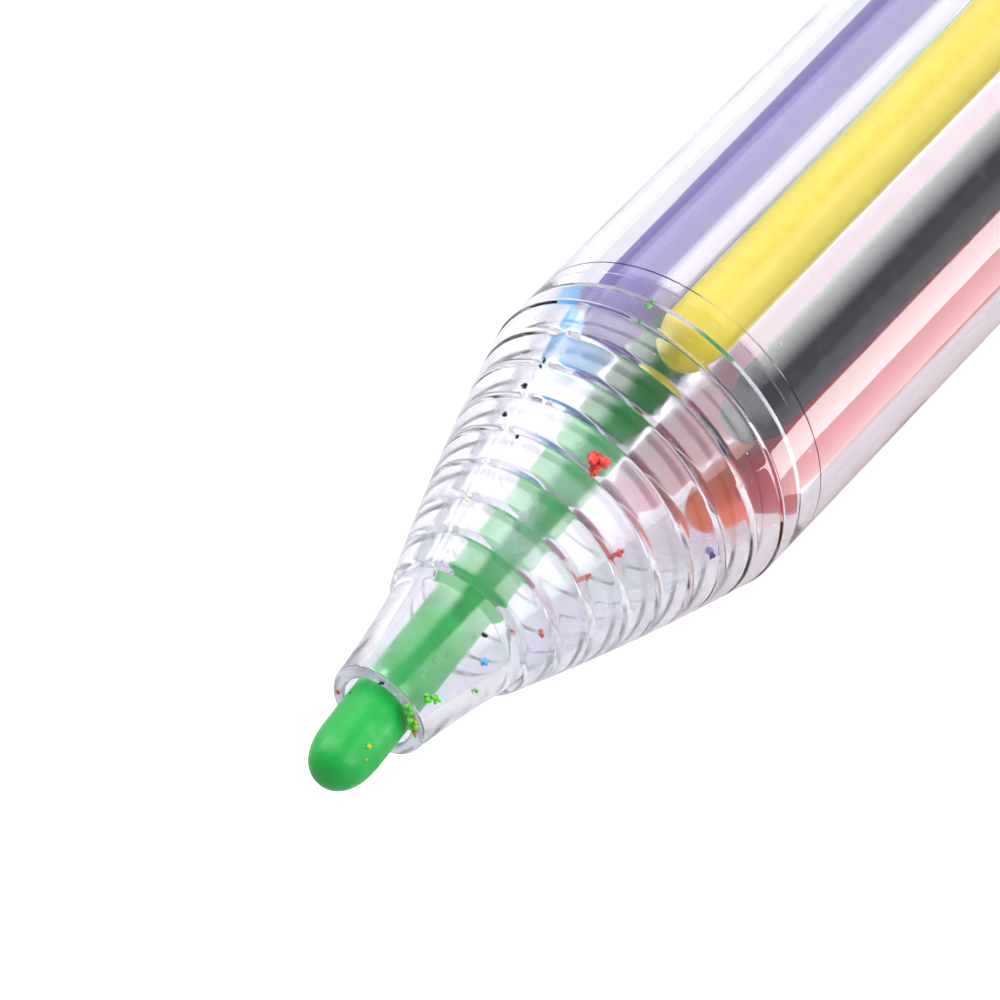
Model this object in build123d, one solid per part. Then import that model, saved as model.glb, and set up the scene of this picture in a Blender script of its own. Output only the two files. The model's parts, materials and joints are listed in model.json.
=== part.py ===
"""Eight-colour push crayon: eight wax sticks on a circle inside a clear barrel, one pushed out through a ribbed nose.

Every piece is drawn in the pen's own frame: X runs forward along the axis, and X = 0 is the moulding line
where the ribbed nose meets the plain tube. A station piece is drawn at the top of the circle, where +Z points
outward, and is then turned to its station. At the end everything moves so that the pen lies on Z = 0,
centred on the origin.
"""

from build123d import *
import math
import os

# Front barrel and its ribbed nose, millimetres
BARREL_D = 20.0
BARREL_WALL = 0.9
COLLAR_L = 3.6
SHOULDER_STEP = 0.05
RIBS = 8
RIB_PITCH = 2.15
RIB_H = 0.3
RIB_FLANK = 0.6
RIB_BULGE = 0.25
RIB_END_D = 9.1
CONE_L = 7.4
CONE_WAIST_D = 7.0
RIM_WALL = 0.6
RIM_CHAMFER = 0.4
BORE_L = 1.0
FUNNEL_START = 1.5
FUNNEL_STEP = 0.6

# Stations, wax sticks and their holders
COLOURS = ["yellow", "black", "red", "orange", "magenta", "green", "blue", "purple"]
OUT_COLOUR = "green"
FIRST_STATION_DEG = 22.5
WAX_D = 3.8
WAX_TIP_L = 2.6
WAX_END_D = 2.1
PROTRUDE = 6.0
REACH = 42.0
TIP_SET = 2.5
TIP_LEAN = 0.5
TAIL_W = 2.2
TAIL_L = 5.0
SOCKET_L = 6.6
SOCKET_START = 2.4
SOCKET_STEP = 0.15
CHEEK_R = 1.2
CHEEK_T = 0.8
PIN_D = 1.0

# Sliders with their push rods, and return springs
ROD_W = 1.6
EYE_L = 0.9
EYE_T = 1.2
EYE_NECK = 1.7
BLOCK_L = 10.0
BLOCK_W = 3.6
BLOCK_H = 3.7
NECK_L = 6.0
NECK_W = 2.4
PAD_L = 9.0
PAD_W = 4.8
PAD_H = 1.5
PAD_BEVEL = 0.75
GRIPS = 4
GRIP_W = 2.2
GRIP_H = 0.5
SPRING_SHUT = 9.0
SPRING_QUARTER_TURNS = 10
WIRE_R = 0.2
WIRE_SIDES = 3

# Rear barrel, guide plug, core and end cap
REAR_STEP = 0.2
PLUG_FRONT_L = 3.5
PLUG_REAR_L = 4.5
CORE_NECK_STEP = 0.9
PEG_STEP = 1.8
PEG_L = 2.4
CAP_L = 3.0
BOSS_WALL = 1.2
KEY_L = 3.2

# Clearances
FIT = 0.05
PIN_FIT = 0.05
RUN = 0.15
SEAT = 0.2
STICK_GAP = 0.2
BORE_GAP = 0.5
SLOT_GAP = 0.2
BLOCK_GAP = 0.4
PAD_GAP = 0.3
SPRING_GAP = 0.07
END_PLAY = 1.0
PLUG_PLAY = 3.9

# Radii, worked out from the sizes above
BARREL_R = BARREL_D / 2
BORE_R = BARREL_R - BARREL_WALL
REAR_R = BARREL_R - REAR_STEP
TIP_BORE_R = WAX_D / 2 + BORE_GAP
RIM_R = TIP_BORE_R + RIM_WALL
PITCH_R = BORE_R - STICK_GAP - WAX_D / 2
BLOCK_TOP_R = BORE_R - BLOCK_GAP
BLOCK_FLOOR_R = BLOCK_TOP_R - BLOCK_H
CORE_R = BLOCK_FLOOR_R - BLOCK_GAP
PEG_R = CORE_R - PEG_STEP
SPRING_R = ROD_W / math.sqrt(2) + SPRING_GAP + WIRE_R
SLOT_W = NECK_W + 2 * SLOT_GAP

# Places along X and the stick's swing
RIBS_END = COLLAR_L + RIBS * RIB_PITCH
NOSE_L = RIBS_END + CONE_L
CROSSING = NOSE_L - BORE_L / 2
SWING_OUT = math.atan2(PITCH_R, REACH)
STICK_L = math.hypot(PITCH_R, REACH) + (PROTRUDE + BORE_L / 2) / math.cos(SWING_OUT)
SWING_IN = math.asin(TIP_LEAN / STICK_L)
PIVOT_OUT = CROSSING - REACH
PIVOT_IN = TIP_SET - STICK_L * math.cos(SWING_IN)
TRAVEL = PIVOT_OUT - PIVOT_IN
SOCKET_END = SOCKET_START + SOCKET_L
PLUG_FRONT = PIVOT_IN - CHEEK_R - PLUG_PLAY
TUBE_END = PLUG_FRONT - PLUG_FRONT_L
PLUG_BACK = TUBE_END - PLUG_REAR_L
BLOCK_FRONT_OUT = PLUG_BACK - SPRING_SHUT
BLOCK_FRONT_IN = BLOCK_FRONT_OUT - TRAVEL
CAP_FACE = BLOCK_FRONT_IN - BLOCK_L - END_PLAY - KEY_L
CAP_END = CAP_FACE - CAP_L
NECK_SETBACK = (BLOCK_L - NECK_L) / 2
PAD_SETBACK = (BLOCK_L - PAD_L) / 2
STATIONS = range(len(COLOURS))
STATION_STEP = 360 / len(COLOURS)


def at(x, r):
    """A point of a turned outline: place along the axis, and radius."""
    return Vector(x, 0, r)


def turned(*points):
    """A solid turned about the axis from a closed outline."""
    return revolve(make_face(Polyline(*points, close=True)), Axis.X)


def block(x0, x1, width, z0, z1):
    """A block centred on Y = 0."""
    return Pos((x0 + x1) / 2, 0, (z0 + z1) / 2) * Box(x1 - x0, width, z1 - z0)


def eight_sided(radius, x0, x1):
    """A bar along X with one flat under each station, each at that radius."""
    section = RegularPolygon(radius, len(COLOURS), major_radius=False)
    return extrude(Plane.YZ.offset(x0) * section, x1 - x0)


def to_station(shape, i):
    """Turns a piece drawn at the top of the circle to its station."""
    return Rot(-(FIRST_STATION_DEG + i * STATION_STEP), 0, 0) * shape


def at_all_stations(shape):
    """The same piece at every station."""
    return [to_station(shape, i) for i in STATIONS]


def rib_radius(x):
    """Crest line of the ribs: a taper that swells a little halfway."""
    t = (x - COLLAR_L) / (RIBS_END - COLLAR_L)
    shoulder = BARREL_R - SHOULDER_STEP
    return shoulder * (1 - t) + RIB_END_D / 2 * t + RIB_BULGE * 4 * t * (1 - t)


def rib_outline(start):
    """One rib: the groove behind it, then the two edges of its crest."""
    edges = [start + RIB_FLANK, start + RIB_PITCH - RIB_FLANK]
    return [at(start, rib_radius(start) - RIB_H)] + [at(x, rib_radius(x)) for x in edges]


def front_barrel():
    """Clear moulding: plain tube, flush collar, rounded ribs, smooth front cone, and a funnel down to the bore."""
    ribs = [point for k in range(RIBS) for point in rib_outline(COLLAR_L + k * RIB_PITCH)]
    return turned(
        at(TUBE_END, BORE_R),
        at(TUBE_END, BARREL_R),
        at(COLLAR_L, BARREL_R),
        *ribs,
        at(RIBS_END, rib_radius(RIBS_END) - RIB_H),
        at(RIBS_END + CONE_L / 2, CONE_WAIST_D / 2),
        at(NOSE_L - RIM_CHAMFER, RIM_R),
        at(NOSE_L, RIM_R - RIM_CHAMFER),
        at(NOSE_L, TIP_BORE_R),
        at(NOSE_L - BORE_L, TIP_BORE_R),
        at(FUNNEL_START, BORE_R - FUNNEL_STEP),
        at(FUNNEL_START, BORE_R),
    )


def rear_barrel():
    """Clear rear tube, open at both ends, with eight slider slots that run out of its rear end."""
    tube = turned(
        at(CAP_FACE, BORE_R),
        at(CAP_FACE, REAR_R),
        at(TUBE_END, REAR_R),
        at(TUBE_END, BORE_R),
    )
    slot_front = BLOCK_FRONT_OUT - NECK_SETBACK + SEAT
    slot = block(CAP_FACE - END_PLAY, slot_front, SLOT_W, BLOCK_TOP_R, BARREL_R)
    return tube - at_all_stations(slot)


def end_cap():
    """Rear cap: a disc, a socketed boss for the core and a key in each slot's open end."""
    disc = turned(
        at(CAP_FACE, 0),
        at(CAP_FACE, REAR_R),
        at(CAP_END, REAR_R),
        at(CAP_END, 0),
    )
    boss = eight_sided(PEG_R + BOSS_WALL, CAP_FACE, CAP_FACE + KEY_L)
    socket = eight_sided(PEG_R + FIT, CAP_FACE + KEY_L - PEG_L, CAP_FACE + KEY_L)
    key = block(CAP_FACE, CAP_FACE + KEY_L, SLOT_W - 2 * FIT, BORE_R + FIT, REAR_R - FIT)
    return disc + boss - socket + at_all_stations(key)


def guide_plug():
    """Plug that joins the two tubes: the rods run in its square holes and the springs push on its rear face."""
    plug = turned(
        at(PLUG_BACK, 0),
        at(PLUG_BACK, BORE_R - FIT),
        at(PLUG_FRONT, BORE_R - FIT),
        at(PLUG_FRONT, 0),
    )
    half = ROD_W / 2 + RUN
    rod_hole = block(PLUG_BACK, PLUG_FRONT, 2 * half, PITCH_R - half, PITCH_R + half)
    peg_hole = eight_sided(PEG_R + FIT, PLUG_BACK, PLUG_BACK + PEG_L)
    return plug - peg_hole - at_all_stations(rod_hole)


def core():
    """Eight-sided core between cap and plug: a flat under each slider, and a neck in front of the catch ledge."""
    back = CAP_FACE + KEY_L + FIT
    front = PLUG_BACK - FIT
    ledge = BLOCK_FRONT_OUT - BLOCK_L - SEAT
    neck_end = BLOCK_FRONT_OUT + NECK_SETBACK
    peg = eight_sided(PEG_R, back - PEG_L + FIT, front + PEG_L - FIT)
    neck = eight_sided(CORE_R - CORE_NECK_STEP, ledge, neck_end)
    return eight_sided(CORE_R, back, ledge) + neck + eight_sided(CORE_R, neck_end, front) + peg


def crayon():
    """Wax stick with the pivot at the origin: square tail in the socket, round body, blunt tapered tip."""
    stick = turned(
        at(SOCKET_END, 0),
        at(SOCKET_END, WAX_D / 2),
        at(STICK_L - WAX_TIP_L, WAX_D / 2),
        at(STICK_L, WAX_END_D / 2),
        at(STICK_L, 0),
    )
    return stick + block(SOCKET_END - TAIL_L, SOCKET_END, TAIL_W, -TAIL_W / 2, TAIL_W / 2)


def holder():
    """Eight-sided socket for the wax tail, with two cheeks and a cross pin that hinge on the push rod's eye."""
    half = TAIL_W / 2 + FIT
    socket = eight_sided(WAX_D / 2 - SOCKET_STEP, SOCKET_START, SOCKET_END)
    socket -= block(SOCKET_END - TAIL_L - FIT, SOCKET_END, 2 * half, -half, half)
    inner = EYE_T / 2 + 2 * PIN_FIT
    cheek = block(-CHEEK_R, SOCKET_START, CHEEK_T, -CHEEK_R, CHEEK_R)
    cheeks = [Pos(0, side * (inner + CHEEK_T / 2), 0) * cheek for side in (-1, 1)]
    pin = Rot(90, 0, 0) * Cylinder(PIN_D / 2, 2 * inner)
    return socket + cheeks + pin


def slider():
    """Thumb pad, neck in the slot, inner block, and a push rod whose eye takes the pin at X = 0."""
    front = BLOCK_FRONT_OUT - PIVOT_OUT
    half = ROD_W / 2
    pad_z = REAR_R + PAD_GAP
    pad_front = front - PAD_SETBACK
    grip_step = PAD_L / (GRIPS + 1)
    pad = block(pad_front - PAD_L, pad_front, PAD_W, pad_z, pad_z + PAD_H)
    pad = chamfer(pad.faces().sort_by(Axis.Z)[-1].edges(), PAD_BEVEL)
    for k in range(GRIPS):
        x = pad_front - grip_step * (k + 1)
        pad += block(x - grip_step / 4, x + grip_step / 4, GRIP_W, pad_z + PAD_H, pad_z + PAD_H + GRIP_H)
    neck = block(front - NECK_SETBACK - NECK_L, front - NECK_SETBACK, NECK_W, BLOCK_TOP_R, pad_z)
    body = block(front - BLOCK_L, front, BLOCK_W, BLOCK_FLOOR_R, BLOCK_TOP_R)
    rod = block(front, -EYE_NECK, ROD_W, PITCH_R - half, PITCH_R + half)
    eye = block(-EYE_NECK, EYE_L, EYE_T, PITCH_R - half, PITCH_R + half)
    window = PIN_D / 2 + PIN_FIT
    hole = block(-window, window, ROD_W, PITCH_R - window, PITCH_R + window)
    return body + neck + pad + rod + eye - hole


def helix(start, end):
    """Points and directions of a helix at each quarter turn, from start to end along X."""
    rise = (end - start) / (SPRING_QUARTER_TURNS * math.pi / 2)
    places = []
    for k in range(SPRING_QUARTER_TURNS + 1):
        a = k * math.pi / 2
        place = Vector(start + rise * a, SPRING_R * math.sin(a), SPRING_R * math.cos(a))
        heading = Vector(rise, SPRING_R * math.cos(a), -SPRING_R * math.sin(a)).normalized()
        places.append((place, heading))
    return places


def biarc(p0, t0, p1, t1):
    """Two arcs that leave p0 along t0 and reach p1 along t1."""
    chord = p1 - p0
    bend = 2 * (1 - t0.dot(t1))
    push = chord.dot(t0 + t1)
    reach = (math.sqrt(push * push + bend * chord.dot(chord)) - push) / bend
    start = p0 + t0 * reach
    finish = p1 - t1 * reach
    middle = (start + finish) / 2
    return [TangentArc(p0, middle, tangent=t0), TangentArc(middle, p1, tangent=finish - start)]


def spring(start, end):
    """Return spring round its rod: one unbroken wire swept on biarcs of a quarter turn."""
    places = helix(start, end)
    arcs = [arc for (p0, t0), (p1, t1) in zip(places, places[1:]) for arc in biarc(p0, t0, p1, t1)]
    first, heading = places[0]
    section = Plane(origin=first, x_dir=Vector(0, 0, 1), z_dir=heading) * RegularPolygon(WIRE_R, WIRE_SIDES)
    return sweep(section, path=Wire(arcs), clean=False)


def spring_gap(start, end):
    """Least gap between neighbouring turns, measured on points of the helix."""
    places = [place for place, _ in helix(start, end)]
    pairs = [(a, b) for i, a in enumerate(places) for b in places[i + 3:]]
    return min((b - a).length for a, b in pairs) - 2 * WIRE_R


def station_pieces(colour):
    """The four pieces of one colour at the top of the circle, pushed out or drawn in."""
    out = colour == OUT_COLOUR
    place = Pos(PIVOT_OUT if out else PIVOT_IN, 0, 0)
    stick = place * Pos(0, 0, PITCH_R) * Rot(0, math.degrees(SWING_OUT if out else SWING_IN), 0)
    coil = ((BLOCK_FRONT_OUT if out else BLOCK_FRONT_IN) + WIRE_R + SEAT, PLUG_BACK - WIRE_R - SEAT)
    print(f"spring_{colour}: least gap between turns {spring_gap(*coil):.2f} mm")
    return {
        f"slider_{colour}": place * slider(),
        f"spring_{colour}": Pos(0, 0, PITCH_R) * spring(*coil),
        f"holder_{colour}": stick * holder(),
        f"crayon_{colour}": stick * crayon(),
    }


nodes = {
    "front_barrel": front_barrel(),
    "rear_barrel": rear_barrel(),
    "end_cap": end_cap(),
    "guide_plug": guide_plug(),
    "core": core(),
}
for i, colour in enumerate(COLOURS):
    nodes.update({name: to_station(piece, i) for name, piece in station_pieces(colour).items()})

box = Compound(list(nodes.values())).bounding_box()
to_floor = Pos(-box.center().X, -box.center().Y, -box.min.Z)
print(f"travel {TRAVEL:.4f} mm, swing {math.degrees(SWING_IN):.4f} to {math.degrees(SWING_OUT):.4f} degrees")
print(f"axis height {-box.min.Z:.4f} mm, moulding line at X = {-box.center().X:.4f} mm")

os.makedirs("parts", exist_ok=True)
for name, piece in nodes.items():
    export_step(to_floor * piece, f"parts/{name}.step")
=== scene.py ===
"""Looks of the multicolour push crayon: clear ribbed barrel, eight wax sticks, sliders and springs."""

import json
import math
import random

import bmesh
import bpy
from mathutils import Matrix, Vector


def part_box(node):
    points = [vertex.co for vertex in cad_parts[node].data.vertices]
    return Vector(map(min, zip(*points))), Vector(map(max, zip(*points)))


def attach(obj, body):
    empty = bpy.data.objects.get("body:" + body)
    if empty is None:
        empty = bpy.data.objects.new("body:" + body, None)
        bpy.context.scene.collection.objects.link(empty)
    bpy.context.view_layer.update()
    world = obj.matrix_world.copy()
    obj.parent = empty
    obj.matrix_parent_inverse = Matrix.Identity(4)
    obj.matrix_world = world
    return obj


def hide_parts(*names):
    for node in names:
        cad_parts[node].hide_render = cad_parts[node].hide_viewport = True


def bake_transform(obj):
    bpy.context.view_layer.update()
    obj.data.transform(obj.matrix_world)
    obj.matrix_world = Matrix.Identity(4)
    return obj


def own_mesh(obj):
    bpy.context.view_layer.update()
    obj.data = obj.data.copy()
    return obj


MM = 0.001
COLOURS = ["yellow", "black", "red", "orange", "magenta", "green", "blue", "purple"]

# Camera, fitted to the photograph's 1000 x 1000 frame; distances in metres
IMAGE_PX = 1000
FOCAL_PX = 9000
SENSOR_MM = 36
CLIP_START = 0.01
REAR_RISE_DEG = 45.44
REAR_DEPTH_DEG = 34.94
FACING_DEG = 39.5
RING_PX = (634.9, 447.1)
RING_DEPTH = 0.4998

# Nose and tube, millimetres from the moulding line between them
NOSE_L = 28.2
COLLAR_L = 3.6
RIBS = 8
RIB_PITCH = 2.15
RIBS_END = COLLAR_L + RIBS * RIB_PITCH
RIB_H = 0.3
RIB_BULGE = 0.25
SHOULDER_STEP = 0.05
RIB_END_R = 4.55
CONE_WAIST = (24.5, 3.5)
CONE_STEPS = 12
RIM_R = 3.0
RIM_ROUND = 0.25
GUIDE_R = 2.2
GUIDE_L = 1.6
THROAT_L = 5.5
THROAT_SLOPE = 0.175
FLARE_L = 1.2
FLARE_STEPS = 6
BORE_R = 2.4
BORE_L = 1.0
FUNNEL_START = 1.5
FUNNEL_STEP = 0.6
WALL = 0.9
HAIRLINE = 0.04
EDGE_ROUND = 0.12
RIB_STEPS = 24
RIB_POWER = 12
SEGMENTS = 240
ARC_STEPS = 6
SHARP_DEG = 40
SAME_POINT = 1e-7
PARTING_DEG = (169.5, 349.5)
PARTING_FILL = 0.85
PARTING_H = 0.03

# Wax sticks, millimetres; places along a stick are from its hinge
SOCKET_END = 9.0
TAIL_START = 4.0
TAIL_R = 1.05
WAX_R = 1.9
TIP_L = 3.4
TIP_POWER = 2.5
TIP_STEPS = 22
WAX_SEGMENTS = 64

# Springs, millimetres
SPRING_SHUT = 9.0
WIRE_R = 0.2
COIL_R = 1.4
COIL_TURNS = 15
WIRE_SIDES = 8
TURN_STEPS = 20
SPRING_SEAT = 0.4

# Loose wax, and among the skin crumbs some black crumbs of painted shade: colour, millimetres in front of
# the moulding line, degrees from the camera's side, size.
# Rim crumbs lie on the rim, so they have no place along the pen; specks lie behind the green tip's end.
SEED = 7
FUNNEL_CRUMBS = [
    ("red", 13.0, 33, 0.5), ("red", 15.3, 33, 0.4), ("red", 20.3, 33, 0.35), ("red", 19.0, 49, 0.4),
    ("purple", 7.4, 64, 0.5), ("green", 1.6, -33, 0.4), ("magenta", 9.0, 48, 0.5),
    ("yellow", 16.0, -60, 0.3),
]
SKIN_CRUMBS_AND_SHADE_TICKS = [
    ("red", 11.6, -7, 1.2), ("red", 12.1, -5, 0.6), ("green", 27.0, 27, 0.6), ("green", 26.7, 34, 0.5),
    ("black", 22.2, 18, 0.4), ("blue", 23.0, 37, 0.5), ("green", 24.1, 56, 0.35),
    # The black crumbs on this line and the next lie on the left parting line where it crosses the grooves;
    # they are painted shade, dark ticks standing in for the parting line's shade.
    ("black", 7.7, -51, 0.35), ("black", 8.1, -51, 0.25), ("black", 9.5, -53, 0.35),
    ("black", 11.4, -55, 0.35), ("black", 12.6, -43, 0.3),
]
RIM_CRUMBS = [
    ("green", 24, 0.6), ("green", 33, 0.7), ("yellow", 42, 0.5), ("green", 50, 0.6), ("red", 56, 0.5),
    ("black", -22, 0.35), ("green", 66, 0.4), ("purple", 140, 0.3), ("red", -120, 0.3),
]
TIP_SPECKS = [
    ("yellow", 2.6, 20, 0.3), ("yellow", 2.0, 36, 0.18), ("black", 5.2, -70, 0.25), ("red", 3.6, 65, 0.14),
]
CRUMB_SINK = 0.2
LUMPS = 8
LUMP_SPREAD = 0.35
LUMP_R = (0.15, 0.28)
LUMP_DENT = 0.2
SPECK = 0.2
SPECK_LUMPS = 2
DUST = 46
DUST_X = (-4, 9)
DUST_DEG = (-75, 60)
DUST_SIZE = (0.08, 0.19)

# Film of wax on the funnel's wall: least and greatest cover, and where it lies in millimetres
FILM_COVER = (0.05, 0.34)
FILM_FROM = 8.0
FILM_TO = 21.0
FILM_FADE = 0.25

# Surfaces: texture in features a metre, heights and depths in metres, shares and roughness from 0 to 1
PLASTIC_IOR = 1.5
TINT_PATCHES = 260
RUB_PATCHES = 700
MOULDING_WAVES = 160
WAVE_STRENGTH = 0.02
WAVE_HEIGHT = 0.001
FILM_PATCHES = 330
WAX_SMEARS = 900
WAX_RUBS = 1300
WAX_GRAIN = 1700
WAX_GRAIN_STRENGTH = 0.22
WAX_GRAIN_HEIGHT = 0.0002
WAX_ROUGH = (0.28, 0.52)
WAX_DARK = 0.93
WAX_PALE = 0.03
WAX_SOFT = 0.12
WAX_SOFT_DEPTH = 0.0006
WAX_SOFT_SPREAD = (0.6, 0.6, 0.6)
FLOW_MARKS = 300
WORN_SHARE = 0.9
WORN_LIFT = 0.03
SCUFFS = 1500
SCUFF_ROUGH = 0.18
PLASTIC_SKIN = 2600
SKIN_STRENGTH = 0.08
SKIN_HEIGHT = 0.0001
WIRE_STREAKS = 900
DIE_MARKS = 3000
WIRE_GREY = (0.42, 0.62)
WIRE_ROUGH = (0.2, 0.38)

# Softened edges of the CAD nodes, millimetres
BEVEL = 0.15
BEVEL_STEPS = 2
BEVEL_DEG = 30

# Table and room: half the table's side in metres, its drop in millimetres, and levels of light
TABLE = 4.0
TABLE_DROP = 0.2
TABLE_ROUGH = 0.9
TABLE_SHADE = 0.45
TABLE_GLOW = 0.7
TABLE_SEEN_THROUGH = 0.38
TABLE_MIRRORED = 0.15
ROOM_DARK = (0.44, 0.44, 0.50, 1)
ROOM_WHITE = (0.80, 0.80, 0.83, 1)
ROOM_TURN = (0.3, 0.7)

# Strip lights along the pen: (degrees about its axis from the camera's side, level), and
# their windows along it: (cosine of the angle to the tip's direction, level)
STRIP_POWER = 10.0
BARREL_STRIPS = [
    (-98, 0), (-96, 0.17), (-68, 0.28), (-66, 0.85), (-51, 0.85), (-49, 0.08), (-26, 0.08), (-20, 0.14),
    (-12, 0.08), (-2, 0.07), (0, 0.9), (14, 0.9), (20, 0.55), (36, 0),
]
BARREL_SPAN = [(-0.7, 0), (-0.68, 1), (-0.587, 1), (-0.577, 0)]
NOSE_STRIPS = [
    (-104, 0), (-100, 0.5), (-36, 0.5), (-28, 0), (-4, 0), (0, 0.5), (40, 0.5), (52, 0.3),
]
NOSE_SPAN = [(-0.46, 0), (-0.42, 0.3), (-0.26, 0.3), (-0.2, 1), (0.1, 1), (0.2, 0)]

# Reflectors low on the pen's right, millimetres: (span across the table, level)
LOW_CARD_X = (-65, 36)
LOW_CARD_Z = 0.5
LOW_CARDS = [((27, 62), 10), ((15, 27), 3)]

# Light paths
BOUNCES = 24
GLOSSY_BOUNCES = 8
GLOSSY_BLUR = 0.03


def srgb(r, g, b):
    """A linear colour from 8-bit screen values."""
    levels = [value / 255 for value in (r, g, b)]
    return tuple(c / 12.92 if c <= 0.04045 else ((c + 0.055) / 1.055) ** 2.4 for c in levels) + (1,)


def pale(colour, share):
    """A colour with a share of white mixed in."""
    return tuple(c * (1 - share) + share for c in colour[:3]) + (1,)


WAX = {
    "yellow": srgb(222, 204, 30),
    "black": srgb(15, 16, 22),
    "red": srgb(190, 38, 50),
    "orange": srgb(250, 108, 56),
    "magenta": srgb(192, 42, 110),
    "green": srgb(18, 160, 62),
    "blue": srgb(72, 176, 226),
    "purple": srgb(80, 57, 146),
}
THIN_WAX = {"red": srgb(224, 70, 62), "green": srgb(96, 206, 52)}
WAX_SHEEN = 0.35
SOOT_SHEEN = 0.08
MINT, PINK, CLEAN = srgb(232, 244, 242), srgb(247, 236, 248), srgb(244, 240, 254)
FILM_TINTS = [(0.38, MINT), (0.46, CLEAN), (0.56, CLEAN), (0.64, PINK), (0.72, CLEAN)]
CLEAR_TINTS = [(0.4, srgb(249, 248, 253)), (0.7, srgb(246, 245, 251))]
# The rim's tints are painted shade: a darker lilac grey that stands in for the shade on the rim's face.
RIM_PAINTED_SHADE_TINTS = [(0.4, srgb(206, 208, 226)), (0.7, srgb(222, 222, 235))]

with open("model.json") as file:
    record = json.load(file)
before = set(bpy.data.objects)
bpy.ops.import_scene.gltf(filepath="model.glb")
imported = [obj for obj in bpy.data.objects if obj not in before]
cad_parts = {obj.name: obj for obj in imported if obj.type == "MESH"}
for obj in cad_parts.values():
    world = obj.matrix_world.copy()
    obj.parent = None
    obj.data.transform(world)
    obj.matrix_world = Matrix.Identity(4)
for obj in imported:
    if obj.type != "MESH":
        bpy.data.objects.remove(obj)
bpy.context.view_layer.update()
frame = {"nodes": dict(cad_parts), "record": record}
record = frame["record"]
joints = {joint["name"]: joint for joint in record["behaviour"]["joints"]}

low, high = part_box("front_barrel")
AXIS_Z = (low.z + high.z) / 2
BARREL_R = (high.z - low.z) / 2 / MM
LINE_X = high.x - NOSE_L * MM
TUBE_END = (low.x - LINE_X) / MM


def on_axis(x):
    """A point of the pen's axis, x millimetres in front of the moulding line."""
    return Vector((LINE_X + x * MM, 0, AXIS_Z))


# Materials


def node_maker(tree):
    """A function that adds a node to tree; its inputs are numbers or other nodes' outputs."""

    def node(kind, inputs=None, **settings):
        new = tree.nodes.new(kind)
        for key, value in settings.items():
            setattr(new, key, value)
        for key, value in (inputs or {}).items():
            named = [socket for socket in new.inputs if socket.enabled and socket.name == key]
            socket = named[0] if named else new.inputs[key]
            if isinstance(value, bpy.types.NodeSocket):
                tree.links.new(value, socket)
            else:
                socket.default_value = value
        return new

    return node


def material(name):
    """A new material with its shader and a function that adds and links nodes."""
    made = bpy.data.materials.new(name)
    made.use_nodes = True
    tree = made.node_tree
    return made, tree.nodes["Principled BSDF"], node_maker(tree), tree.links.new


def noise(node, scale, detail=3.0, roughness=0.55):
    """Object-space noise of that many features a metre."""
    place = node("ShaderNodeTexCoord").outputs["Object"]
    inputs = {"Vector": place, "Scale": scale, "Detail": detail, "Roughness": roughness}
    return node("ShaderNodeTexNoise", inputs).outputs["Fac"]


def ramp(node, value, stops):
    """A colour ramp over value; stops are (position, colour)."""
    new = node("ShaderNodeValToRGB", {"Fac": value})
    elements = new.color_ramp.elements
    while len(elements) < len(stops):
        elements.new(0.5)
    for element, (position, colour) in zip(elements, stops):
        element.position = position
        element.color = colour
    return new.outputs["Color"]


def grey(value):
    """A neutral colour of that level."""
    return (value, value, value, 1)


def between(node, value, levels, start, end):
    """A grey that goes from the first level to the second as value goes from start to end."""
    return ramp(node, value, [(start, grey(levels[0])), (end, grey(levels[1]))])


def bump(node, height, strength, distance):
    """A surface normal raised by height."""
    inputs = {"Height": height, "Strength": strength, "Distance": distance}
    return node("ShaderNodeBump", inputs).outputs["Normal"]


def clear_plastic(name, rough, worn, tints, passing=1.0):
    """Clear moulded plastic with faint moulding waves; tint and roughness change in patches."""
    made, shader, node, link = material(name)
    link(ramp(node, noise(node, TINT_PATCHES, 2.0), tints), shader.inputs["Base Color"])
    shader.inputs["IOR"].default_value = PLASTIC_IOR
    shader.inputs["Transmission Weight"].default_value = passing
    link(between(node, noise(node, RUB_PATCHES), (rough, worn), 0.45, 0.72), shader.inputs["Roughness"])
    waves = noise(node, MOULDING_WAVES, 1.0)
    link(bump(node, waves, WAVE_STRENGTH, WAVE_HEIGHT), shader.inputs["Normal"])
    return made, shader, node, link


def waxy_plastic():
    """The funnel's wall: clear plastic with a patchy, milky film of wax where the tips rub."""
    made, shader, node, link = clear_plastic("waxy_plastic", rough=0.06, worn=0.3, tints=FILM_TINTS)
    place = node("ShaderNodeTexCoord").outputs["Object"]
    x = node("ShaderNodeSeparateXYZ", {"Vector": place}).outputs["X"]
    ends = {"From Min": LINE_X + FILM_FROM * MM, "From Max": LINE_X + FILM_TO * MM}
    along = node("ShaderNodeMapRange", {"Value": x, **ends}).outputs["Result"]
    fade = [(0, grey(0)), (FILM_FADE, grey(1)), (1 - FILM_FADE, grey(1)), (1, grey(0))]
    cover = between(node, noise(node, FILM_PATCHES, 4.0), FILM_COVER, 0.35, 0.65)
    film = node("ShaderNodeMath", {0: ramp(node, along, fade), 1: cover}, operation="MULTIPLY").outputs[0]
    passing = node("ShaderNodeMath", {0: 1.0, 1: film}, operation="SUBTRACT").outputs[0]
    link(passing, shader.inputs["Transmission Weight"])
    return made


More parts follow.
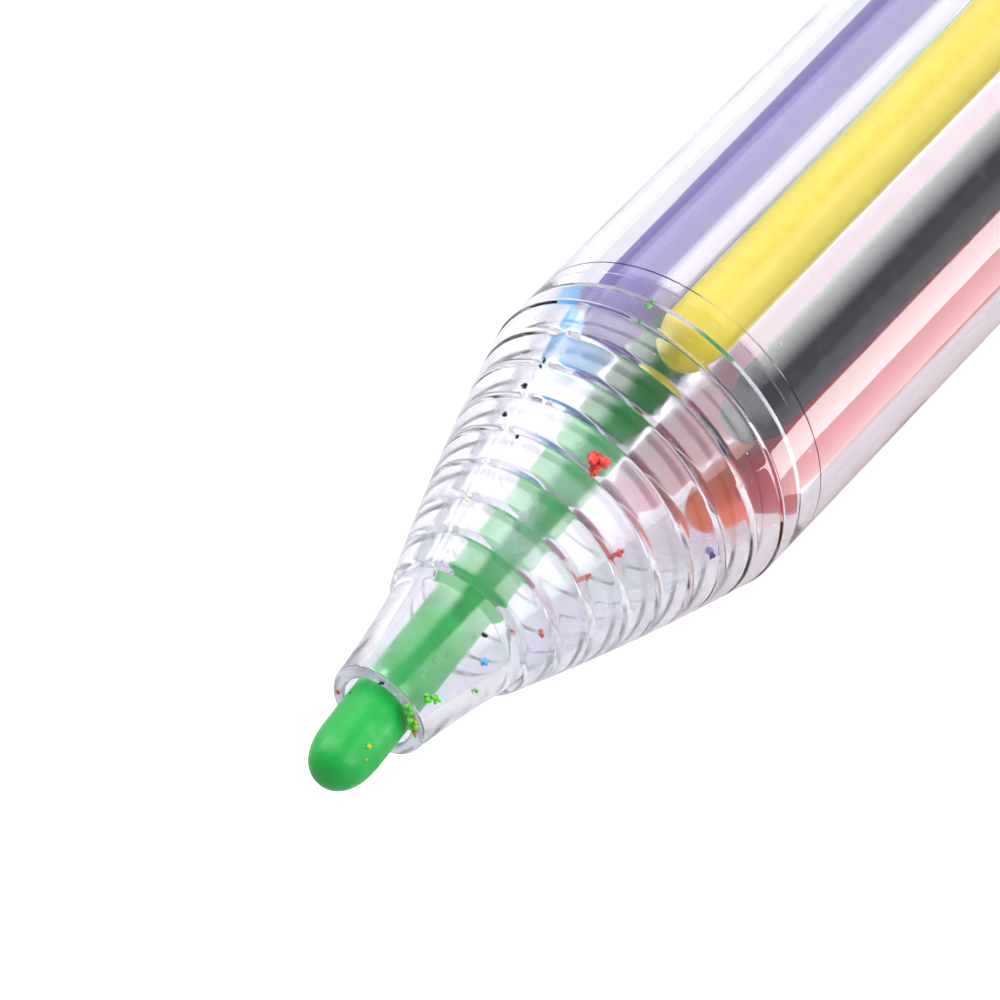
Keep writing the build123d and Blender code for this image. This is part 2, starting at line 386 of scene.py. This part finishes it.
def wax(name, base, sheen=WAX_SHEEN):
    """Dense crayon wax: a little soft in the light, with smears and rubbed patches."""
    made, shader, node, link = material(name)
    dark = tuple(c * WAX_DARK for c in base[:3]) + (1,)
    smears = [(0.3, dark), (0.55, base), (0.8, pale(base, WAX_PALE))]
    link(ramp(node, noise(node, WAX_SMEARS, 6.0), smears), shader.inputs["Base Color"])
    link(between(node, noise(node, WAX_RUBS), WAX_ROUGH, 0.3, 0.7), shader.inputs["Roughness"])
    shader.inputs["Specular IOR Level"].default_value = sheen
    shader.inputs["Subsurface Weight"].default_value = WAX_SOFT
    shader.inputs["Subsurface Radius"].default_value = WAX_SOFT_SPREAD
    shader.inputs["Subsurface Scale"].default_value = WAX_SOFT_DEPTH
    grain = noise(node, WAX_GRAIN, 5.0)
    link(bump(node, grain, WAX_GRAIN_STRENGTH, WAX_GRAIN_HEIGHT), shader.inputs["Normal"])
    return made


def plastic(name, base, rough=0.28):
    """Moulded plastic: slight gloss, faint flow marks and handling scuffs."""
    made, shader, node, link = material(name)
    worn = tuple(c * WORN_SHARE + WORN_LIFT for c in base[:3]) + (1,)
    link(ramp(node, noise(node, FLOW_MARKS, 5.0), [(0.4, base), (0.75, worn)]), shader.inputs["Base Color"])
    scuffed = (rough, rough + SCUFF_ROUGH)
    link(between(node, noise(node, SCUFFS), scuffed, 0.35, 0.75), shader.inputs["Roughness"])
    skin = noise(node, PLASTIC_SKIN, 2.0)
    link(bump(node, skin, SKIN_STRENGTH, SKIN_HEIGHT), shader.inputs["Normal"])
    return made


def spring_steel():
    """Drawn wire with fine die marks."""
    made, shader, node, link = material("spring_steel")
    link(between(node, noise(node, WIRE_STREAKS, 4.0), WIRE_GREY, 0.3, 0.7), shader.inputs["Base Color"])
    shader.inputs["Metallic"].default_value = 1.0
    link(between(node, noise(node, DIE_MARKS), WIRE_ROUGH, 0.3, 0.7), shader.inputs["Roughness"])
    return made


CLEAR = clear_plastic("clear_plastic", rough=0.015, worn=0.06, tints=CLEAR_TINTS)[0]
# The rim's plastic is rough where it is rubbed; its darker lilac-grey colour, shown through less
# transmission, is painted shade.
RUBBED_WITH_PAINTED_SHADE = clear_plastic("rubbed_plastic_painted_shade", rough=0.2, worn=0.4, tints=RIM_PAINTED_SHADE_TINTS, passing=0.6)[0]
HAZY = waxy_plastic()
WHITE = plastic("white_plastic", srgb(236, 236, 238), rough=0.35)
STEEL = spring_steel()
WAXES = {colour: wax(f"wax_{colour}", WAX[colour]) for colour in COLOURS if colour != "black"}
WAXES["black"] = wax("wax_black", WAX["black"], SOOT_SHEEN)
SHAVINGS = {colour: wax(f"shaving_{colour}", THIN_WAX.get(colour, WAX[colour])) for colour in COLOURS}
SHAVINGS["dust"] = WHITE
PLASTICS = {colour: plastic(f"plastic_{colour}", WAX[colour]) for colour in COLOURS}


# Building helpers


def new_piece(name, verts, faces, look):
    """A mesh piece in the row frame, smooth except at sharp edges."""
    mesh = bpy.data.meshes.new(name)
    mesh.from_pydata([tuple(v) for v in verts], [], faces)
    mesh.materials.append(look)
    mesh.shade_smooth()
    mesh.set_sharp_from_angle(angle=math.radians(SHARP_DEG))
    piece = bpy.data.objects.new(name, mesh)
    bpy.context.scene.collection.objects.link(piece)
    return piece


def turned(name, outline, place, look, segments=SEGMENTS, lift=None):
    """A closed outline of (x, r) in millimetres, turned about place's X axis; lift(x, k) raises column k."""
    verts, faces = [], []
    count = len(outline)
    for k in range(segments):
        a = 2 * math.pi * k / segments
        for x, r in outline:
            r += lift(x, k) if lift else 0
            verts.append(place @ Vector((x * MM, r * math.sin(a) * MM, r * math.cos(a) * MM)))
    for k in range(segments):
        a, b = k * count, (k + 1) % segments * count
        for i in range(count):
            j = (i + 1) % count
            if outline[i][1] or outline[j][1]:
                faces.append((a + i, b + i, b + j, a + j))
    piece = new_piece(name, verts, faces, look)
    bm = bmesh.new()
    bm.from_mesh(piece.data)
    bmesh.ops.remove_doubles(bm, verts=bm.verts, dist=SAME_POINT)
    bmesh.ops.recalc_face_normals(bm, faces=bm.faces)
    bm.to_mesh(piece.data)
    bm.free()
    return piece


def arc(centre, radius, start_deg, end_deg, steps=ARC_STEPS):
    """Points of an arc in the (x, r) plane."""
    angles = [math.radians(start_deg + (end_deg - start_deg) * k / steps) for k in range(steps + 1)]
    return [(centre[0] + radius * math.cos(a), centre[1] + radius * math.sin(a)) for a in angles]


# Front barrel


def rib_crest(x):
    """Crest line of the ribs."""
    t = (x - COLLAR_L) / (RIBS * RIB_PITCH)
    return (BARREL_R - SHOULDER_STEP) * (1 - t) + RIB_END_R * t + RIB_BULGE * 4 * t * (1 - t)


def rib_points():
    """Rounded ribs that meet in narrow grooves."""
    points = []
    for rib in range(RIBS):
        for k in range(RIB_STEPS):
            u = k / RIB_STEPS
            x = COLLAR_L + (rib + u) * RIB_PITCH
            points.append((x, rib_crest(x) - RIB_H * abs(2 * u - 1) ** RIB_POWER))
    return points


def cone_r(x):
    """Radius of the slightly hollow front cone from the last groove to the rim, through its waist."""
    x0, (x1, r1), x2 = RIBS_END, CONE_WAIST, NOSE_L - RIM_ROUND
    near0 = (x - x1) * (x - x2) / ((x0 - x1) * (x0 - x2))
    near1 = (x - x0) * (x - x2) / ((x1 - x0) * (x1 - x2))
    near2 = (x - x0) * (x - x1) / ((x2 - x0) * (x2 - x1))
    return (rib_crest(x0) - RIB_H) * near0 + r1 * near1 + RIM_R * near2


def cone_points():
    """The front cone's outline."""
    step = (NOSE_L - RIM_ROUND - RIBS_END) / CONE_STEPS
    return [(RIBS_END + step * k, cone_r(RIBS_END + step * k)) for k in range(CONE_STEPS + 1)]


def funnel_r(x):
    """Radius of the inner funnel, which flares out of the narrower throat and guide behind the rim."""
    t = (x - FUNNEL_START) / (NOSE_L - BORE_L - FUNNEL_START)
    cone = (BARREL_R - WALL - FUNNEL_STEP) * (1 - t) + BORE_R * t
    behind = max(0, NOSE_L - GUIDE_L - x)
    throat = GUIDE_R + THROAT_SLOPE * min(behind, THROAT_L)
    s = min(1, max(0, behind - THROAT_L) / FLARE_L)
    return throat + (cone - throat) * s * s * (3 - 2 * s)


def front_shell():
    """The clear front moulding, with rounded ribs, moulding line and parting lines."""
    inner_r = BARREL_R - WALL
    outline = [(TUBE_END, inner_r), (TUBE_END, BARREL_R)]
    outline += [(-HAIRLINE, BARREL_R), (0, BARREL_R - HAIRLINE), (HAIRLINE, BARREL_R)]
    outline += arc((COLLAR_L - EDGE_ROUND, BARREL_R - EDGE_ROUND), EDGE_ROUND, 90, 20)
    outline += rib_points() + cone_points()
    outline += arc((NOSE_L - RIM_ROUND, RIM_R - RIM_ROUND), RIM_ROUND, 80, 0)
    outline += [(NOSE_L, GUIDE_R + EDGE_ROUND), (NOSE_L - EDGE_ROUND, GUIDE_R)]
    throat_x = NOSE_L - GUIDE_L - THROAT_L
    flare = [throat_x - FLARE_L * k / FLARE_STEPS for k in range(FLARE_STEPS + 1)]
    inside = [NOSE_L - GUIDE_L] + flare + [FUNNEL_START]
    outline += [(x, funnel_r(x)) for x in inside] + [(FUNNEL_START, inner_r)]
    columns = {round(deg / 360 * SEGMENTS) + k for deg in PARTING_DEG for k in (-1, 0, 1)}

    def parting(x, k):
        """Height of the parting lines' ridge, which fills the grooves in their columns."""
        rib = (x - COLLAR_L) / RIB_PITCH
        if k not in columns or not 0 < rib < RIBS:
            return 0
        return PARTING_H + PARTING_FILL * RIB_H * abs(2 * (rib % 1) - 1) ** RIB_POWER

    shell = turned("front_shell", outline, Matrix.Translation(on_axis(0)), CLEAR, lift=parting)
    shell.data.materials.append(HAZY)
    shell.data.materials.append(RUBBED_WITH_PAINTED_SHADE)
    for face in shell.data.polygons:
        x, y, z = (face.center - on_axis(0)) / MM
        # The rim's faces take the rubbed plastic, with painted shade in its colour.
        if x > NOSE_L - EDGE_ROUND:
            face.material_index = 2
        elif x > FUNNEL_START and math.hypot(y, z) < funnel_r(x) + EDGE_ROUND:
            face.material_index = 1
    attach(shell, "barrel")
    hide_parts("front_barrel")


# Sticks


def stick_frame(colour):
    """Place of a stick, origin at its hinge and X along the wax; and its length from hinge to tip."""
    pivot = Vector(joints[f"swing_{colour}"]["pos_m"])
    points = [vertex.co for vertex in frame["nodes"][f"crayon_{colour}"].data.vertices]
    along = (sum(points, Vector()) / len(points) - pivot).normalized()
    side = Vector(joints[f"swing_{colour}"]["axis"]).normalized()
    place = Matrix((along, side, along.cross(side))).transposed().to_4x4()
    return Matrix.Translation(pivot) @ place, max((p - pivot).dot(along) for p in points) / MM


def wax_stick(colour):
    """Wax stick with a rounded bullet tip, seated in its holder."""
    place, length = stick_frame(colour)
    outline = [(TAIL_START, 0), (TAIL_START, TAIL_R), (SOCKET_END, TAIL_R)]
    outline += [(SOCKET_END, WAX_R - EDGE_ROUND), (SOCKET_END + EDGE_ROUND, WAX_R)]
    for k in range(TIP_STEPS + 1):
        u = math.sin(math.pi / 2 * k / TIP_STEPS)
        r = WAX_R * max(0, 1 - u ** TIP_POWER) ** (1 / TIP_POWER)
        outline.append((length - TIP_L * (1 - u), r if k < TIP_STEPS else 0))
    stick = turned(f"wax_{colour}", outline, place, WAXES[colour], segments=WAX_SEGMENTS)
    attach(stick, f"stick_{colour}")
    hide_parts(f"crayon_{colour}")


# Loose wax


def facing_place(x, r, deg):
    """A place on the pen: millimetres along and from the axis, degrees from the camera's side."""
    a = math.radians(FACING_DEG + deg)
    return on_axis(x) + Vector((0, math.sin(a), math.cos(a))) * r * MM


def blobs(bm, centre, size, chance):
    """A crumb: a few lumps that lie together round centre. A speck has fewer, plainer ones."""
    small = size < SPECK
    for _ in range(SPECK_LUMPS if small else LUMPS):
        offset = Vector([chance.uniform(-LUMP_SPREAD, LUMP_SPREAD) * size * MM for _ in range(3)])
        radius = chance.uniform(*LUMP_R) * size * MM
        middle = Matrix.Translation(centre + offset)
        lump = bmesh.ops.create_icosphere(bm, subdivisions=1 if small else 2, radius=radius, matrix=middle)
        for vertex in lump["verts"]:
            vertex.co += Vector([chance.uniform(-LUMP_DENT, LUMP_DENT) * radius for _ in range(3)])


def loose_wax(name, body, places):
    """Crumbs of every colour on one body; places are (colour, centre, size)."""
    chance = random.Random(SEED)
    for colour in sorted({place[0] for place in places}):
        bm = bmesh.new()
        for _, centre, size in (place for place in places if place[0] == colour):
            blobs(bm, centre, size, chance)
        piece = new_piece(f"{name}_{colour}", [], [], SHAVINGS[colour])
        bm.to_mesh(piece.data)
        bm.free()
        piece.data.shade_smooth()
        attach(piece, body)


def skin_r(x):
    """Radius of the outer skin over the tube, ribs and cone."""
    if x > RIBS_END:
        return cone_r(x)
    return rib_crest(x) if x > COLLAR_L else BARREL_R


def crumbs():
    """Crumbs in the funnel and on the rim, crumbs and dust on the skin, among them black crumbs of painted
    shade on the left parting line, and specks on the tip that is out.
    """
    places = []
    for colour, x, deg, size in FUNNEL_CRUMBS:
        places.append((colour, facing_place(x, funnel_r(x) - CRUMB_SINK * size, deg), size))
    for colour, deg, size in RIM_CRUMBS:
        places.append((colour, facing_place(NOSE_L, (RIM_R + GUIDE_R) / 2, deg), size))
    chance = random.Random(SEED)
    ranges = (DUST_X, DUST_DEG, DUST_SIZE)
    dust = [("dust", *(chance.uniform(*ends) for ends in ranges)) for _ in range(DUST)]
    for colour, x, deg, size in SKIN_CRUMBS_AND_SHADE_TICKS + dust:
        places.append((colour, facing_place(x, skin_r(x), deg), size))
    loose_wax("crumbs", "barrel", places)
    place, length = stick_frame("green")
    specks = []
    for colour, back, deg, size in TIP_SPECKS:
        u = 1 - back / TIP_L
        r = WAX_R * (1 - max(0, u) ** TIP_POWER) ** (1 / TIP_POWER) if back < TIP_L else WAX_R
        outward = facing_place(0, r, deg) - on_axis(0)
        specks.append((colour, place @ Vector(((length - back) * MM, 0, 0)) + outward, size))
    loose_wax("specks", "stick_green", specks)


# Springs


def coil(colour):
    """Round-wire return spring between the guide plug and the slider's block."""
    pivot = Vector(joints[f"swing_{colour}"]["pos_m"])
    slide = joints[f"slide_{colour}"]
    seat_x = slide["deforming_nodes"][0]["fixed_end_x_m"]
    out = slide["range_m"][0] < 0
    reach = max(abs(v) for v in joints["slide_black"]["range_m"])
    length = SPRING_SHUT * MM + (0 if out else reach)
    front, back = seat_x - SPRING_SEAT * MM, seat_x - length + SPRING_SEAT * MM
    verts, faces = [], []
    steps = COIL_TURNS * TURN_STEPS
    for k in range(steps + 1):
        t = k / steps
        a = 2 * math.pi * COIL_TURNS * t
        outward = Vector((0, math.sin(a), math.cos(a)))
        centre = Vector((front + (back - front) * t, pivot.y, pivot.z)) + outward * COIL_R * MM
        for s in range(WIRE_SIDES):
            b = 2 * math.pi * s / WIRE_SIDES
            verts.append(centre + (outward * math.cos(b) + Vector((math.sin(b), 0, 0))) * WIRE_R * MM)
    for k in range(steps):
        for s in range(WIRE_SIDES):
            a, b = k * WIRE_SIDES + s, k * WIRE_SIDES + (s + 1) % WIRE_SIDES
            faces.append((a, b, b + WIRE_SIDES, a + WIRE_SIDES))
    faces += [tuple(range(WIRE_SIDES))[::-1], tuple(range(steps * WIRE_SIDES, (steps + 1) * WIRE_SIDES))]
    piece = new_piece(f"coil_{colour}", verts, faces, STEEL)
    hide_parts(f"spring_{colour}")
    if out:
        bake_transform(piece)
    else:
        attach(piece, "barrel")
        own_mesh(piece)


# CAD nodes that stay


def dress_nodes():
    """Materials and softened edges for the CAD nodes that are shown as they are."""
    looks = {"rear_barrel": CLEAR, "end_cap": CLEAR, "guide_plug": WHITE, "core": WHITE}
    for colour in COLOURS:
        looks[f"slider_{colour}"] = PLASTICS[colour]
        looks[f"holder_{colour}"] = WHITE
    for name, look in looks.items():
        node = frame["nodes"][name]
        node.data.materials.clear()
        node.data.materials.append(look)
        bevel = node.modifiers.new("soft_edges", "BEVEL")
        bevel.width = BEVEL * MM
        bevel.segments = BEVEL_STEPS
        bevel.limit_method = "ANGLE"
        bevel.angle_limit = math.radians(BEVEL_DEG)
        bevel.harden_normals = True


# Table, light and camera


def table():
    """A white table, brighter than its shading where it is seen, straight, through plastic or mirrored."""
    made, shader, node, link = material("white_table")
    shader.inputs["Base Color"].default_value = grey(TABLE_SHADE)
    shader.inputs["Roughness"].default_value = TABLE_ROUGH
    shader.inputs["Emission Color"].default_value = grey(1.0)
    path = node("ShaderNodeLightPath").outputs
    levels = {"Camera": TABLE_GLOW, "Transmission": TABLE_SEEN_THROUGH, "Glossy": TABLE_MIRRORED}
    glow = 0.0
    for ray, level in levels.items():
        shown = node("ShaderNodeMath", {0: path[f"Is {ray} Ray"], 1: level}, operation="MULTIPLY").outputs[0]
        glow = node("ShaderNodeMath", {0: shown, 1: glow}, operation="MAXIMUM").outputs[0]
    link(glow, shader.inputs["Emission Strength"])
    corners = [(-TABLE, -TABLE, 0), (TABLE, -TABLE, 0), (TABLE, TABLE, 0), (-TABLE, TABLE, 0)]
    floor = new_piece("table", corners, [(0, 1, 2, 3)], made)
    floor.location.z = -TABLE_DROP * MM


def studio(forward):
    """A white room, greyer on the camera's side, with long soft strip lights that lie along the pen."""
    world = bpy.data.worlds.new("studio")
    world.use_nodes = True
    bpy.context.scene.world = world
    tree = world.node_tree
    node = node_maker(tree)
    way = node("ShaderNodeTexCoord").outputs["Generated"]
    facing = math.radians(FACING_DEG)

    def along(direction):
        """Cosine of the angle to a direction."""
        return node("ShaderNodeVectorMath", {0: way, 1: direction}, operation="DOT_PRODUCT").outputs["Value"]

    def half(value):
        """A value from -1 to 1, moved to 0 to 1."""
        return node("ShaderNodeMapRange", {"Value": value, "From Min": -1}).outputs["Result"]

    walls = ramp(node, half(along(forward)), list(zip(ROOM_TURN, (ROOM_DARK, ROOM_WHITE))))
    across = along((0, math.cos(facing), -math.sin(facing)))
    up = along((0, math.sin(facing), math.cos(facing)))
    turn = node("ShaderNodeMath", {0: across, 1: up}, operation="ARCTAN2").outputs[0]
    circle = {"Value": turn, "From Min": -math.pi, "From Max": math.pi}
    turn = node("ShaderNodeMapRange", circle).outputs["Result"]
    reach = half(along((1, 0, 0)))
    light = node("ShaderNodeBackground", {"Color": walls})
    for strips, span in ((BARREL_STRIPS, BARREL_SPAN), (NOSE_STRIPS, NOSE_SPAN)):
        strip = ramp(node, turn, [(0.5 + deg / 360, grey(level)) for deg, level in strips])
        window = ramp(node, reach, [((1 + x) / 2, grey(level)) for x, level in span])
        mix = {"Factor": 1.0, "A": strip, "B": window}
        shown = node("ShaderNodeMix", mix, data_type="RGBA", blend_type="MULTIPLY")
        lamp = node("ShaderNodeBackground", {"Color": shown.outputs["Result"], "Strength": STRIP_POWER})
        light = node("ShaderNodeAddShader", {0: light.outputs[0], 1: lamp.outputs[0]})
    backdrop = node("ShaderNodeBackground", {"Color": grey(1.0)})
    seen = node("ShaderNodeLightPath").outputs["Is Camera Ray"]
    both = node("ShaderNodeMixShader", {0: seen, 1: light.outputs[0], 2: backdrop.outputs[0]})
    tree.links.new(both.outputs[0], tree.nodes["World Output"].inputs["Surface"])


def low_cards():
    """Long reflectors low on the pen's right, which give the barrel's right side its white band and veil."""
    for span, level in LOW_CARDS:
        data = bpy.data.lights.new("low_card", "AREA")
        data.shape = "RECTANGLE"
        data.size, data.size_y = ((high - low) * MM for low, high in (LOW_CARD_X, span))
        data.energy = level * math.pi * data.size * data.size_y
        card = bpy.data.objects.new("low_card", data)
        card.location = [value * MM for value in (sum(LOW_CARD_X) / 2, sum(span) / 2, LOW_CARD_Z)]
        card.rotation_euler.x = math.pi
        card.visible_camera = False
        card.visible_transmission = False
        bpy.context.scene.collection.objects.link(card)


def camera_axes():
    """The camera's right, down and forward in the row frame, from the pen's direction in the photograph."""
    rise, depth, facing = (math.radians(v) for v in (REAR_RISE_DEG, REAR_DEPTH_DEG, FACING_DEG))
    rear = Vector((math.cos(depth) * math.cos(rise), -math.cos(depth) * math.sin(rise), math.sin(depth)))
    seen_tip = -rear
    seen_near = (Vector((0, 0, -1)) + math.sin(depth) * rear).normalized()
    seen_side = seen_near.cross(seen_tip)
    tip = Vector((1, 0, 0))
    near = Vector((0, math.sin(facing), math.cos(facing)))
    side = near.cross(tip)
    return [tip * seen_tip[k] + near * seen_near[k] + side * seen_side[k] for k in range(3)]


def camera():
    """The photograph's camera. Returns its viewing direction."""
    right, down, forward = camera_axes()
    half = IMAGE_PX / 2
    offset = [(pixel - half) / FOCAL_PX * RING_DEPTH for pixel in RING_PX]
    place = on_axis(COLLAR_L) - right * offset[0] - down * offset[1] - forward * RING_DEPTH
    data = bpy.data.cameras.new("camera")
    data.sensor_width = SENSOR_MM
    data.lens = FOCAL_PX / IMAGE_PX * SENSOR_MM
    data.clip_start = CLIP_START
    shot = bpy.data.objects.new("camera", data)
    shot.matrix_world = Matrix.Translation(place) @ Matrix((right, -down, -forward)).transposed().to_4x4()
    bpy.context.scene.collection.objects.link(shot)
    bpy.context.scene.camera = shot
    return forward


front_shell()
for colour in COLOURS:
    wax_stick(colour)
    coil(colour)
crumbs()
dress_nodes()
table()
studio(camera())
low_cards()

scene = bpy.context.scene
scene.view_settings.view_transform = "Standard"
scene.cycles.use_denoising = True
scene.cycles.max_bounces = BOUNCES
scene.cycles.transmission_bounces = BOUNCES
scene.cycles.glossy_bounces = GLOSSY_BOUNCES
scene.cycles.blur_glossy = GLOSSY_BLUR
